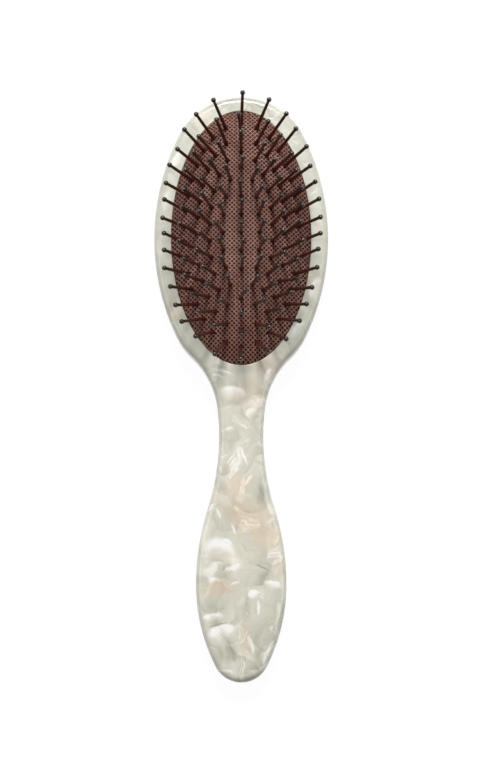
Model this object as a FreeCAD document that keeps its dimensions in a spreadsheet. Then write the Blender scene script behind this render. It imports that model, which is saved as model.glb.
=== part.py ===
"""Oval detangling brush: acetate paddle, cloth-faced rubber cushion and 105 ball-tipped pins.

Millimetres. X runs across the brush, +Y from the handle to the top of the head, +Z out of the pin side.
The origin lies on the flat back, under the middle of the cushion.
"""
import FreeCAD
import Part
import Sketcher
import math
import os

Vector = FreeCAD.Vector

# Corners nearer to a plane than this lie in it
FLAT = 1e-6

# Steps in the search for a place on the dome
HALVINGS = 40

# Driving sizes: name, value, meaning
SIZES = [
    ("body_thickness", 12.0, "paddle, back to front"),
    ("pad_half_width", 26.2, "cushion, middle to side"),
    ("pad_half_length", 48.7, "cushion, middle to top or bottom"),
    ("rim_side_width", 6.6, "acetate rim beside the cushion"),
    ("rim_top_width", 6.0, "acetate rim above the cushion"),
    ("rim_bottom_width", 4.0, "from the cushion to the lower end of the head's oval"),
    ("head_top_radius", 26.2, "rounding of the head's upper end"),
    ("head_bottom_radius", 26.9, "rounding of the head's lower end"),
    ("neck_below_pad", 26.5, "from the cushion to the narrowest place of the neck"),
    ("neck_width", 16.4, "neck at its narrowest"),
    ("neck_upper_radius", 81.0, "hollow flank of the neck, towards the head"),
    ("neck_lower_radius", 89.0, "hollow flank of the neck, towards the handle"),
    ("throat_radius", 32.0, "blend between head and neck"),
    ("grip_below_neck", 54.4, "from the narrowest neck to the widest grip"),
    ("grip_width", 33.2, "handle at its widest"),
    ("end_below_grip", 35.7, "from the widest grip to the handle's end"),
    ("end_radius", 10.5, "rounded end of the handle"),
    ("front_edge_radius", 2.5, "rounding of the front edge"),
    ("back_edge_bevel", 2.2, "bevel of the back edge"),
    ("chamber_depth", 8.0, "air chamber, from the front face to its floor"),
    ("ledge_width", 1.6, "ledge in the chamber under the cushion's bead"),
    ("lip_height", 1.4, "acetate lip over the bead"),
    ("bead_height", 1.6, "bead round the cushion's rim"),
    ("bead_reach", 1.4, "bead, out from the cushion's side"),
    ("seat_clearance", 0.1, "cushion to acetate"),
    ("crown_height", 7.5, "dome above the front face"),
    ("crown_half_width", 3.2, "flat top of the dome, middle to side"),
    ("facing_thickness", 0.4, "woven cloth"),
    ("rubber_thickness", 2.0, "cushion wall"),
    ("pin_length", 18.0, "pin, from the cloth to the tip"),
    ("pin_root_width", 1.5, "shaft where it leaves the rubber"),
    ("pin_neck_width", 1.05, "shaft under the ball"),
    ("ball_width", 1.9, "ball tip"),
    ("ball_crown_width", 0.9, "flat on the ball's top"),
    ("foot_width", 2.8, "pin foot under the rubber"),
    ("foot_thickness", 0.8, "pin foot under the rubber"),
    ("pin_clearance", 0.05, "shaft to its hole"),
    ("foot_clearance", 0.35, "foot to the rubber"),
    ("ring_side_margin", 5.1, "from the cushion's side to the outer ring of pins"),
    ("ring_end_margin", 6.4, "from the cushion's top or bottom to the outer ring of pins"),
    ("inner_ring_half_width", 6.7, "inner ring of pins"),
    ("inner_ring_end_margin", 23.8, "from the cushion's top or bottom to the inner ring of pins"),
    ("centre_pitch", 6.9, "step along the centre row"),
]

# Rings of pins: name, pins in the ring, pins in each of its end groups
RINGS = [
    ("outer", 34, 7),
    ("second", 28, 5),
    ("third", 22, 5),
    ("inner", 16, 3),
]
CENTRE_PINS = 5

# Flat sides of a pin, and of the cushion
PIN_SIDES = 5
PAD_SIDES = 28

# Stations of the dome from its rim (0) to its flat top (1)
DOME_STATIONS = (0.25, 0.5, 0.75, 1.0)

doc = FreeCAD.newDocument("detangling_brush")
sheet = doc.addObject("Spreadsheet::Sheet", "sizes")


def fill_sheet():
    """Write the driving sizes with their names."""
    for row, (name, number, meaning) in enumerate(SIZES, start=1):
        sheet.set(f"A{row}", meaning)
        sheet.set(f"B{row}", str(number))
        sheet.setAlias(f"B{row}", name)
    doc.recompute()


def value(formula):
    """Number that a formula of the sheet's names gives now."""
    return float(sheet.evalExpression(formula))


def size(name):
    return value(f"sizes.{name}")


def origin_plane(body, role):
    return next(item for item in body.Origin.OriginFeatures if item.Role == role)


def new_sketch(body, name, height="0"):
    """Sketch on the body's XY plane, raised by a formula."""
    sketch = body.newObject("Sketcher::SketchObject", name)
    sketch.AttachmentSupport = [(origin_plane(body, "XY_Plane"), "")]
    sketch.MapMode = "FlatFace"
    sketch.setExpression("AttachmentOffset.Base.z", height)
    return sketch


def add_size(sketch, name, formula, kind, *places):
    """Named dimension of a sketch, bound to a formula."""
    index = sketch.addConstraint(Sketcher.Constraint(kind, *places, value(formula)))
    sketch.renameConstraint(index, name)
    sketch.setExpression(f"Constraints.{name}", formula)


ROOT = -1
X_AXIS = -1
Y_AXIS = -2
START, END, CENTRE = range(1, 4)


def rule(sketch, kind, *places):
    sketch.addConstraint(Sketcher.Constraint(kind, *places))


def ellipse_sketch(body, name, height, half_width, half_length):
    """Full ellipse round the origin, long way along Y."""
    sketch = new_sketch(body, name, height)
    top = Vector(0, value(half_length), 0)
    side = Vector(-value(half_width), 0, 0)
    oval = sketch.addGeometry(Part.Ellipse(top, side, Vector()))
    sketch.exposeInternalGeometry(oval)
    long_axis = oval + 1
    short_axis = oval + 2
    rule(sketch, "Coincident", oval, CENTRE, ROOT, START)
    rule(sketch, "PointOnObject", long_axis, START, Y_AXIS)
    add_size(sketch, "full_length", f"2 * ({half_length})", "Distance", long_axis)
    add_size(sketch, "full_width", f"2 * ({half_width})", "Distance", short_axis)
    return sketch


def arc_between(centre, first, last):
    """Arc about a centre, anticlockwise from one point to another."""
    radius = (first - centre).Length
    start = math.atan2(first.y - centre.y, first.x - centre.x)
    stop = math.atan2(last.y - centre.y, last.x - centre.x)
    return Part.ArcOfCircle(Part.Circle(centre, Vector(0, 0, 1), radius), start, stop)


def towards(start, target, distance):
    return start + (target - start).normalize() * distance


def tangent_side_radius(half_width, rise, end_radius):
    """Radius of a flank that is upright at its widest place and runs into a round end."""
    return (half_width ** 2 + rise ** 2 - end_radius ** 2) / (2 * (half_width - end_radius))


def head_sketch(body):
    """Right half of the head: round ends and a flank that is widest beside the origin, all tangent."""
    half_width = "sizes.pad_half_width + sizes.rim_side_width"
    upper = "sizes.pad_half_length + sizes.rim_top_width"
    lower = "sizes.pad_half_length + sizes.rim_bottom_width"
    top_radius = size("head_top_radius")
    bottom_radius = size("head_bottom_radius")
    side = Vector(value(half_width), 0, 0)
    top = Vector(0, value(upper), 0)
    bottom = Vector(0, -value(lower), 0)
    top_centre = top - Vector(0, top_radius, 0)
    bottom_centre = bottom + Vector(0, bottom_radius, 0)
    upper_radius = tangent_side_radius(side.x, top_centre.y, top_radius)
    lower_radius = tangent_side_radius(side.x, bottom_centre.y, bottom_radius)
    upper_centre = side - Vector(upper_radius, 0, 0)
    lower_centre = side - Vector(lower_radius, 0, 0)
    upper_joint = towards(upper_centre, top_centre, upper_radius)
    lower_joint = towards(lower_centre, bottom_centre, lower_radius)

    sketch = new_sketch(body, "head_outline")
    bottom_arc = sketch.addGeometry(arc_between(bottom_centre, bottom, lower_joint))
    lower_arc = sketch.addGeometry(arc_between(lower_centre, lower_joint, side))
    upper_arc = sketch.addGeometry(arc_between(upper_centre, side, upper_joint))
    top_arc = sketch.addGeometry(arc_between(top_centre, upper_joint, top))
    middle = sketch.addGeometry(Part.LineSegment(top, bottom))

    rule(sketch, "Tangent", bottom_arc, END, lower_arc, START)
    rule(sketch, "Coincident", lower_arc, END, upper_arc, START)
    rule(sketch, "Tangent", upper_arc, END, top_arc, START)
    rule(sketch, "Coincident", top_arc, END, middle, START)
    rule(sketch, "Coincident", middle, END, bottom_arc, START)
    for flank in (lower_arc, upper_arc):
        rule(sketch, "PointOnObject", flank, CENTRE, X_AXIS)
    for round_end in (bottom_arc, top_arc):
        rule(sketch, "PointOnObject", round_end, CENTRE, Y_AXIS)
    rule(sketch, "PointOnObject", upper_arc, START, X_AXIS)
    rule(sketch, "PointOnObject", middle, START, Y_AXIS)
    rule(sketch, "PointOnObject", middle, END, Y_AXIS)
    add_size(sketch, "half_width", half_width, "DistanceX", ROOT, START, upper_arc, START)
    add_size(sketch, "upper_length", upper, "DistanceY", ROOT, START, middle, START)
    add_size(sketch, "lower_length", lower, "DistanceY", middle, END, ROOT, START)
    add_size(sketch, "top_radius", "sizes.head_top_radius", "Radius", top_arc)
    add_size(sketch, "bottom_radius", "sizes.head_bottom_radius", "Radius", bottom_arc)
    return sketch


def handle_sketch(body):
    """Right half of neck and handle: hollow flanks, a swelling grip and a round end, all tangent."""
    neck_drop = "sizes.pad_half_length + sizes.neck_below_pad"
    grip_drop = f"{neck_drop} + sizes.grip_below_neck"
    end_drop = f"{grip_drop} + sizes.end_below_grip"
    half_neck = value("sizes.neck_width / 2")
    half_grip = value("sizes.grip_width / 2")
    upper_radius = size("neck_upper_radius")
    lower_radius = size("neck_lower_radius")
    end_radius = size("end_radius")
    widening = half_grip - half_neck
    swell_radius = (size("grip_below_neck") ** 2 + widening ** 2) / (2 * widening) - lower_radius
    taper_radius = tangent_side_radius(half_grip, size("end_below_grip") - end_radius, end_radius)

    top_y = -size("pad_half_length")
    neck_y = -value(neck_drop)
    grip_y = -value(grip_drop)
    end_y = -value(end_drop)
    upper_centre = Vector(half_neck + upper_radius, neck_y, 0)
    lower_centre = Vector(half_neck + lower_radius, neck_y, 0)
    swell_centre = Vector(half_grip - swell_radius, grip_y, 0)
    taper_centre = Vector(half_grip - taper_radius, grip_y, 0)
    end_centre = Vector(0, end_y + end_radius, 0)
    top_x = upper_centre.x - math.sqrt(upper_radius ** 2 - (top_y - neck_y) ** 2)
    top = Vector(top_x, top_y, 0)
    neck = Vector(half_neck, neck_y, 0)
    swell = towards(lower_centre, swell_centre, lower_radius)
    grip = Vector(half_grip, grip_y, 0)
    taper = towards(taper_centre, end_centre, taper_radius)
    end = Vector(0, end_y, 0)
    inside = Vector(0, top_y, 0)

    sketch = new_sketch(body, "handle_outline")
    upper_neck = sketch.addGeometry(arc_between(upper_centre, top, neck))
    lower_neck = sketch.addGeometry(arc_between(lower_centre, neck, swell))
    upper_grip = sketch.addGeometry(arc_between(swell_centre, grip, swell))
    lower_grip = sketch.addGeometry(arc_between(taper_centre, taper, grip))
    round_end = sketch.addGeometry(arc_between(end_centre, end, taper))
    middle = sketch.addGeometry(Part.LineSegment(end, inside))
    across = sketch.addGeometry(Part.LineSegment(inside, top))

    rule(sketch, "Tangent", upper_neck, END, lower_neck, START)
    rule(sketch, "Tangent", lower_neck, END, upper_grip, END)
    rule(sketch, "Tangent", upper_grip, START, lower_grip, END)
    rule(sketch, "Tangent", lower_grip, START, round_end, END)
    rule(sketch, "Coincident", round_end, START, middle, START)
    rule(sketch, "Coincident", middle, END, across, START)
    rule(sketch, "Coincident", across, END, upper_neck, START)
    rule(sketch, "PointOnObject", middle, START, Y_AXIS)
    rule(sketch, "PointOnObject", middle, END, Y_AXIS)
    rule(sketch, "PointOnObject", round_end, CENTRE, Y_AXIS)
    rule(sketch, "Horizontal", across)
    rule(sketch, "Horizontal", upper_neck, CENTRE, lower_neck, CENTRE)
    rule(sketch, "Horizontal", upper_grip, CENTRE, lower_grip, CENTRE)
    add_size(sketch, "top_drop", "sizes.pad_half_length", "DistanceY", middle, END, ROOT, START)
    add_size(sketch, "neck_drop", neck_drop, "DistanceY", upper_neck, CENTRE, ROOT, START)
    add_size(sketch, "grip_drop", grip_drop, "DistanceY", upper_grip, CENTRE, ROOT, START)
    add_size(sketch, "end_drop", end_drop, "DistanceY", round_end, START, ROOT, START)
    add_size(sketch, "half_neck", "sizes.neck_width / 2", "DistanceX", ROOT, START, upper_neck, END)
    add_size(sketch, "half_grip", "sizes.grip_width / 2", "DistanceX", ROOT, START, upper_grip, START)
    add_size(sketch, "upper_radius", "sizes.neck_upper_radius", "Radius", upper_neck)
    add_size(sketch, "lower_radius", "sizes.neck_lower_radius", "Radius", lower_neck)
    add_size(sketch, "end_radius", "sizes.end_radius", "Radius", round_end)
    return sketch


def add_pad(body, name, sketch, length):
    pad = body.newObject("PartDesign::Pad", name)
    pad.Profile = sketch
    pad.setExpression("Length", length)
    sketch.Visibility = False
    return pad


def add_pocket(body, name, sketch, length):
    """Pocket below a sketch; the body must lose volume."""
    doc.recompute()
    before = body.Shape.Volume
    pocket = body.newObject("PartDesign::Pocket", name)
    pocket.Profile = sketch
    pocket.setExpression("Length", length)
    doc.recompute()
    if body.Shape.Volume >= before:
        raise RuntimeError(f"{name} cuts nothing")
    return pocket


def add_fillet(body, name, base, edges, radius):
    fillet = body.newObject("PartDesign::Fillet", name)
    fillet.Base = (base, edges)
    fillet.setExpression("Radius", radius)
    doc.recompute()
    return fillet


def add_bevel(body, name, base, edges, width):
    bevel = body.newObject("PartDesign::Chamfer", name)
    bevel.Base = (base, edges)
    bevel.setExpression("Size", width)
    doc.recompute()
    return bevel


def edges_at(shape, height):
    """Names of the edges that lie flat at one height."""
    flat = 1e-4
    names = []
    for number, edge in enumerate(shape.Edges, start=1):
        box = edge.BoundBox
        if abs(box.ZMin - height) < flat and abs(box.ZMax - height) < flat:
            names.append(f"Edge{number}")
    return names


def throat_edges(shape):
    """Names of the upright edges where the flanks of head and neck meet at an angle."""
    least_angle = math.radians(8)
    names = []
    for number, edge in enumerate(shape.Edges, start=1):
        if edge.tangentAt(edge.FirstParameter).cross(Vector(0, 0, 1)).Length > 1e-6:
            continue
        point = edge.valueAt((edge.FirstParameter + edge.LastParameter) / 2)
        normals = []
        for face in shape.ancestorsOfType(edge, Part.Face):
            normals.append(face.normalAt(*face.Surface.parameter(point)))
        if len(normals) == 2 and normals[0].getAngle(normals[1]) > least_angle:
            names.append(f"Edge{number}")
    return names


def make_paddle():
    """Head, neck and handle in one piece, with the air chamber and the groove for the cushion's bead."""
    body = doc.addObject("PartDesign::Body", "paddle_body")
    head = add_pad(body, "head", head_sketch(body), "sizes.body_thickness")
    handle = add_pad(body, "handle", handle_sketch(body), "sizes.body_thickness")
    doc.recompute()
    both = body.newObject("PartDesign::Mirrored", "both_sides")
    both.Originals = [head, handle]
    both.MirrorPlane = (origin_plane(body, "YZ_Plane"), [""])
    body.Tip = both
    doc.recompute()
    throat = add_fillet(body, "throat", both, throat_edges(both.Shape), "sizes.throat_radius")
    front_edges = edges_at(throat.Shape, size("body_thickness"))
    front = add_fillet(body, "front_edge", throat, front_edges, "sizes.front_edge_radius")
    add_bevel(body, "back_edge", front, edges_at(front.Shape, 0), "sizes.back_edge_bevel")

    clearance = "sizes.seat_clearance"
    face = "sizes.body_thickness"
    groove_top = f"{face} - sizes.lip_height"
    ledge = f"{groove_top} - sizes.bead_height"
    mouth = [f"sizes.{name} + {clearance}" for name in ("pad_half_width", "pad_half_length")]
    groove = [f"{half} + sizes.bead_reach" for half in mouth]
    chamber = [f"{half} - sizes.ledge_width" for half in mouth]
    add_pocket(body, "mouth", ellipse_sketch(body, "mouth_oval", face, *mouth), "sizes.lip_height")
    add_pocket(body, "groove", ellipse_sketch(body, "groove_oval", groove_top, *groove), "sizes.bead_height")
    chamber_sketch = ellipse_sketch(body, "chamber_oval", ledge, *chamber)
    add_pocket(body, "chamber", chamber_sketch, "sizes.chamber_depth - sizes.lip_height - sizes.bead_height")
    return body


def flat_faces(corners):
    """One face through four corners, or two where they lie askew."""
    first, second, third, fourth = corners
    normal = (second - first).cross(fourth - first).normalize()
    if abs((third - first).dot(normal)) < FLAT:
        outlines = [corners]
    else:
        outlines = [(first, second, third), (first, third, fourth)]
    return [closed_face(outline) for outline in outlines]


def closed_face(corners):
    return Part.Face(Part.makePolygon([*corners, corners[0]]))


def faceted(name, rings):
    """Solid with flat facets through a stack of rings of corners, lowest first."""
    faces = [closed_face(rings[0]), closed_face(rings[-1])]
    for low, high in zip(rings, rings[1:]):
        for number in range(len(low)):
            faces += flat_faces((low[number - 1], low[number], high[number], high[number - 1]))
    shell = Part.Shell(faces)
    shell.sewShape()
    piece = doc.addObject("Part::Feature", name)
    piece.Shape = Part.Solid(shell)
    return piece


def oval_ring(inset, height):
    """Corners of an oval that lies a given inset inside the cushion's side."""
    across = size("pad_half_width") - inset
    along = size("pad_half_length") - inset
    turns = [2 * math.pi * number / PAD_SIDES for number in range(PAD_SIDES)]
    return [Vector(across * math.cos(turn), along * math.sin(turn), height) for turn in turns]


ROLL = "(sizes.pad_half_width - sizes.crown_half_width)"
STEEPEST = f"2 * sizes.crown_height / {ROLL}"


def dome_rings(depth):
    """Ovals of the domed surface that lies a given depth below the cloth, from its rim to its flat top."""
    steepest = value(STEEPEST)
    rim_drop = depth * (math.sqrt(1 + steepest ** 2) - steepest)
    rings = [oval_ring(depth, size("body_thickness") - rim_drop)]
    for station in DOME_STATIONS:
        slope = steepest * (1 - station)
        length = math.sqrt(1 + slope ** 2)
        inset = value(ROLL) * station + depth * slope / length
        rise = size("crown_height") * (1 - (1 - station) ** 2) - depth / length
        rings.append(oval_ring(inset, size("body_thickness") + rise))
    return rings


def cut(name, base, tool):
    rest = doc.addObject("Part::Cut", name)
    rest.Base = base
    rest.Tool = tool
    return rest


BEAD_TOP = "sizes.body_thickness - sizes.lip_height - sizes.seat_clearance"
BEAD_BOTTOM = "sizes.body_thickness - sizes.lip_height - sizes.bead_height"
WALL = "sizes.facing_thickness + sizes.rubber_thickness"


def make_facing(holes):
    """Woven cloth over the dome, tucked into the mouth as far as the bead."""
    cloth = size("facing_thickness")
    hem = value(BEAD_TOP)
    outside = faceted("facing_outside", [oval_ring(0, hem)] + dome_rings(0))
    inside = faceted("facing_inside", [oval_ring(cloth, hem)] + dome_rings(cloth))
    return cut("mesh_facing", cut("facing_shell", outside, inside), holes)


def make_cushion(holes):
    """Hollow rubber dome with a bead round its rim."""
    cloth = size("facing_thickness")
    wall = value(WALL)
    reach = size("bead_reach")
    top = value(BEAD_TOP)
    bottom = value(BEAD_BOTTOM)
    bead = [oval_ring(-reach, bottom), oval_ring(-reach, top), oval_ring(cloth, top)]
    outside = faceted("cushion_outside", bead + dome_rings(cloth))
    inside = faceted("cushion_inside", [oval_ring(wall, bottom)] + dome_rings(wall))
    return cut("cushion_pad", cut("cushion_shell", outside, inside), holes)


FOOT_TOP = f"-({WALL} + sizes.foot_clearance)"
FOOT_BOTTOM = f"{FOOT_TOP} - sizes.foot_thickness"


def pin_ring(width, height):
    """Corners of a pin of a given width, at a height above the cloth."""
    turns = [2 * math.pi * number / PIN_SIDES for number in range(PIN_SIDES)]
    return [Vector(width / 2 * math.cos(turn), width / 2 * math.sin(turn), height) for turn in turns]


def make_pin_blank():
    """One pin standing on the origin: flared foot, tapered shaft and ball."""
    length = size("pin_length")
    ball = size("ball_width")
    return faceted("pin_blank", [
        pin_ring(size("foot_width"), value(FOOT_BOTTOM)),
        pin_ring(size("pin_root_width"), value(FOOT_TOP)),
        pin_ring(size("pin_neck_width"), length - ball),
        pin_ring(ball, length - ball / 2),
        pin_ring(size("ball_crown_width"), length),
    ])


def make_hole_blank():
    """Hole for one pin through cloth and rubber, with room past both."""
    hole = doc.addObject("Part::Prism", "hole_blank")
    hole.Polygon = PIN_SIDES
    hole.setExpression("Circumradius", "sizes.pin_root_width / 2 + sizes.pin_clearance")
    hole.setExpression("Height", f"{WALL} - ({FOOT_BOTTOM})")
    hole.setExpression("Placement.Base.z", FOOT_BOTTOM)
    return hole


def dome_inset(x, y):
    """How far inside the rim the dome's oval through a point lies."""
    low = 0.0
    high = value(ROLL)
    half_width = size("pad_half_width")
    half_length = size("pad_half_length")
    for _ in range(HALVINGS):
        middle = (low + high) / 2
        if (x / (half_width - middle)) ** 2 + (y / (half_length - middle)) ** 2 < 1:
            low = middle
        else:
            high = middle
    return low


def dome_seat(x, y):
    """Place on the cloth at x, y, with its Z axis square to the dome."""
    inset = dome_inset(x, y)
    left = 1 - inset / value(ROLL)
    across = size("pad_half_width") - inset
    along = size("pad_half_length") - inset
    slope = value(STEEPEST) * left
    scale = slope / (x ** 2 / across ** 3 + y ** 2 / along ** 3 or 1)
    normal = Vector(scale * x / across ** 2, scale * y / along ** 2, 1)
    height = size("body_thickness") + size("crown_height") * (1 - left ** 2)
    return FreeCAD.Placement(Vector(x, y, height), FreeCAD.Rotation(Vector(0, 0, 1), normal))


def ring_path(number):
    """Oval of one ring; the rings lie in equal steps from the outer to the inner one."""
    outer_width = value("sizes.pad_half_width - sizes.ring_side_margin")
    outer_length = value("sizes.pad_half_length - sizes.ring_end_margin")
    inner_length = value("sizes.pad_half_length - sizes.inner_ring_end_margin")
    share = number / (len(RINGS) - 1)
    half_width = outer_width + (size("inner_ring_half_width") - outer_width) * share
    half_length = outer_length + (inner_length - outer_length) * share
    return Part.Ellipse(Vector(0, half_length, 0), Vector(half_width, 0, 0), Vector()).toShape()


def ring_groups(number, name, count, end_pins):
    """Seats of one ring in equal steps, by the side to which its pins lean."""
    points = ring_path(number).discretize(count + 1)[:-1]
    seats = [dome_seat(point.x, point.y) for point in points]
    half = end_pins // 2
    flank = (count - 2 * end_pins) // 2
    seats = seats[-half:] + seats[:-half]
    groups = {}
    for side, pins in (("top", end_pins), ("right", flank), ("bottom", end_pins), ("left", flank)):
        groups[f"{name}_pins_{side}"] = seats[:pins]
        seats = seats[pins:]
    return groups


def pin_groups():
    """Seats of all pins under the name of their group."""
    groups = {}
    for number, (name, count, end_pins) in enumerate(RINGS):
        groups.update(ring_groups(number, name, count, end_pins))
    first = -(CENTRE_PINS - 1) / 2
    steps = [(first + number) * size("centre_pitch") for number in range(CENTRE_PINS)]
    groups["centre_pins"] = [dome_seat(0, step) for step in steps]
    return groups


def copies(name, blank, seats):
    """Group of equal solids, one at each seat."""
    shapes = []
    for seat in seats:
        shape = blank.Shape.copy()
        shape.Placement = seat.multiply(blank.Placement)
        shapes.append(shape)
    group = doc.addObject("Part::Feature", name)
    group.Shape = Part.makeCompound(shapes)
    group.Placement = FreeCAD.Placement()
    return group


def check(pieces):
    """Stop if an object failed or a piece has no sound solid."""
    for item in doc.Objects:
        if "Invalid" in item.State or "Error" in item.State:
            raise RuntimeError(f"{item.Name} failed: {item.State}")
    for piece in pieces:
        if piece.Shape.isNull() or not piece.Shape.isValid() or not piece.Shape.Solids:
            raise RuntimeError(f"{piece.Name} has no sound solid")


def main():
    fill_sheet()
    pin_blank = make_pin_blank()
    hole_blank = make_hole_blank()
    doc.recompute()
    groups = pin_groups()
    pins = [copies(name, pin_blank, seats) for name, seats in groups.items()]
    holes = copies("pin_holes", hole_blank, [seat for seats in groups.values() for seat in seats])
    pieces = [make_paddle(), make_cushion(holes), make_facing(holes)] + pins
    doc.recompute()
    check(pieces)
    os.makedirs("parts", exist_ok=True)
    for piece in pieces:
        piece.Label = piece.Name
        piece.Shape.exportStep(f"parts/{piece.Label}.step")
        print(piece.Label, len(piece.Shape.Solids), round(piece.Shape.Volume, 1))


main()
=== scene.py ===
"""Detangling brush: pearl acetate paddle, domed cushion under a woven net, 105 ball-tipped nylon pins.

Shapes are worked out in millimetres and put into the scene in metres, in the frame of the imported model:
X across the brush, +Y to the top of the head, +Z out of the pin side, the flat back at Z 0.
"""
import math
import random

import bpy
import numpy as np
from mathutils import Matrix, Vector
from mathutils.geometry import tessellate_polygon


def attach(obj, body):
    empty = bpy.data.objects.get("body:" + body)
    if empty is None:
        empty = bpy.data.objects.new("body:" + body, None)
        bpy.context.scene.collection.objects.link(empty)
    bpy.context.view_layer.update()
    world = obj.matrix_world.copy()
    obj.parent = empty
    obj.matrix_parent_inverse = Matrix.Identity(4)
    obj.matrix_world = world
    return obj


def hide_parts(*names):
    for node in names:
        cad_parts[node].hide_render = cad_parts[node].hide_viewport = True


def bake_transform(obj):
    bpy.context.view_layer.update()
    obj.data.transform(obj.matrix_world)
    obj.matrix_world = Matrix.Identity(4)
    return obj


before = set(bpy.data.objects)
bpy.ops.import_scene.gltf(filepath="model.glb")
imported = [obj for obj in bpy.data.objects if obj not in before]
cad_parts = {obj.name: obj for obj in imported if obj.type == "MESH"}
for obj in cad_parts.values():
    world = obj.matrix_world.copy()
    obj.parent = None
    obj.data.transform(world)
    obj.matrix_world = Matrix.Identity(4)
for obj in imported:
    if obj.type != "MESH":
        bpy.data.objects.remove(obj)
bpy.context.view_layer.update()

MM = 0.001

# Paddle, as in the solid
THICKNESS = 12.0
PAD = np.array([26.2, 48.7])
HEAD_SIDE = PAD[0] + 6.6
HEAD_TOP = PAD[1] + 6.0
HEAD_BOTTOM = PAD[1] + 4.0
HEAD_TOP_RADIUS = 26.2
HEAD_BOTTOM_RADIUS = 26.9
NECK_Y = -(PAD[1] + 26.5)
NECK_HALF = 8.2
NECK_UPPER_RADIUS = 81.0
NECK_LOWER_RADIUS = 89.0
THROAT_RADIUS = 32.0
GRIP_DROP = 54.4
GRIP_Y = NECK_Y - GRIP_DROP
GRIP_HALF = 16.6
END_DROP = 35.7
END_Y = GRIP_Y - END_DROP
END_RADIUS = 10.5
FRONT_ROUNDING = 2.5
BACK_ROUNDING = 3.4
MOUTH_ROUNDING = 0.3

# Seat of the cushion
CLEARANCE = 0.1
LIP = 1.4
BEAD_HEIGHT = 1.6
BEAD_REACH = 1.4
LEDGE = 1.6
CHAMBER_FLOOR = THICKNESS - 8.0

# Dome, the cloth on it with its dark ground below the threads, the rubber under it, and how many corners
# each ring has
CROWN = 7.5
ROLL = PAD[0] - 3.2
STEEPEST = 2 * CROWN / ROLL
CLOTH = 0.4
GROUND_DEPTH = 0.26
RUBBER = 2.0
RING_CORNERS = 160

# Net of threads over the cloth
THREAD_PITCH = 1.21
THREAD_HALF_WIDTH = 0.18
THREAD_HALF_HEIGHT = 0.14
THREAD_WAVE = 0.11
THREAD_SINK = 0.03
THREAD_SIDES = 6
NET_MARGIN = 0.12

# Pins: rings as name, pins in the ring, pins in each end group
RINGS = [("outer", 34, 7), ("second", 28, 5), ("third", 22, 5), ("inner", 16, 3)]
OUTER_RING = PAD - np.array([5.1, 6.4])
INNER_RING = np.array([6.7, PAD[1] - 23.8])
CENTRE_PINS = 5
CENTRE_PITCH = 6.9
PIN_LENGTH = 18.0
BALL_RADIUS = 0.95
PIN_SIDES = 14
LEAN_SPREAD = math.radians(1.6)

UP = np.array([0.0, 0.0, 1.0])


class Skin:
    """Points, faces and corner normals of one mesh, in millimetres."""

    def __init__(self):
        self.points = []
        self.faces = []
        self.normals = []

    def ring(self, points):
        first = len(self.points)
        self.points += [tuple(point) for point in points]
        return range(first, len(self.points))

    def strip(self, start, stop, start_normals, stop_normals):
        """Quads between two closed rings; anticlockwise rings going up face outwards."""
        for here in range(len(start)):
            before = here - 1
            self.faces.append((start[before], start[here], stop[here], stop[before]))
            self.normals += [start_normals[before], start_normals[here]]
            self.normals += [stop_normals[here], stop_normals[before]]

    def face(self, corners, normal):
        self.faces.append(tuple(corners))
        self.normals += [normal] * len(corners)

    def fill(self, rings, normal):
        """Flat face inside the first ring, with the other rings as holes."""
        corners = [corner for ring in rings for corner in ring]
        outlines = [[self.points[corner] for corner in ring] for ring in rings]
        for triple in tessellate_polygon(outlines):
            one, two, three = [np.array(self.points[corners[number]]) for number in triple]
            turn = np.cross(two - one, three - one) @ normal
            order = triple if turn > 0 else triple[::-1]
            self.face([corners[number] for number in order], normal)

    def make(self, name, own_normals=True):
        """Smooth object of these faces, in metres."""
        mesh = bpy.data.meshes.new(name)
        mesh.from_pydata((np.array(self.points) * MM).tolist(), [], self.faces)
        mesh.shade_smooth()
        if own_normals:
            mesh.normals_split_custom_set([tuple(normal) for normal in self.normals])
        piece = bpy.data.objects.new(name, mesh)
        bpy.context.scene.collection.objects.link(piece)
        return piece


def arc(centre, radius, first, last, hollow=False):
    """Points about a millimetre apart from one place on a circle to another, and outward normals."""
    start = math.atan2(first[1] - centre[1], first[0] - centre[0])
    sweep = math.atan2(last[1] - centre[1], last[0] - centre[0]) - start
    sweep = (sweep + math.pi) % (2 * math.pi) - math.pi
    steps = max(2, round(abs(sweep) * radius))
    turns = start + sweep * np.arange(steps) / steps
    spokes = np.stack([np.cos(turns), np.sin(turns)], axis=1)
    return np.array(centre) + radius * spokes, (-spokes if hollow else spokes)


def flank_radius(half_width, rise, end_radius):
    """Radius of a flank that is upright at its widest place and runs into a round end."""
    return (half_width ** 2 + rise ** 2 - end_radius ** 2) / (2 * (half_width - end_radius))


def towards(start, target, distance):
    """Point at a distance from the start, on the line to the target."""
    start = np.array(start)
    step = np.array(target) - start
    return start + step * distance / np.linalg.norm(step)


def throat_centre(head, neck):
    """Centre of the hollow that touches the head's round end outside and the neck's flank inside."""
    to_head = HEAD_BOTTOM_RADIUS + THROAT_RADIUS
    to_neck = NECK_UPPER_RADIUS - THROAT_RADIUS
    span = np.linalg.norm(neck - head)
    ahead = (to_head ** 2 - to_neck ** 2 + span ** 2) / (2 * span)
    aside = math.sqrt(to_head ** 2 - ahead ** 2)
    along = (neck - head) / span
    return head + along * ahead + np.array([along[1], -along[0]]) * aside


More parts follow.
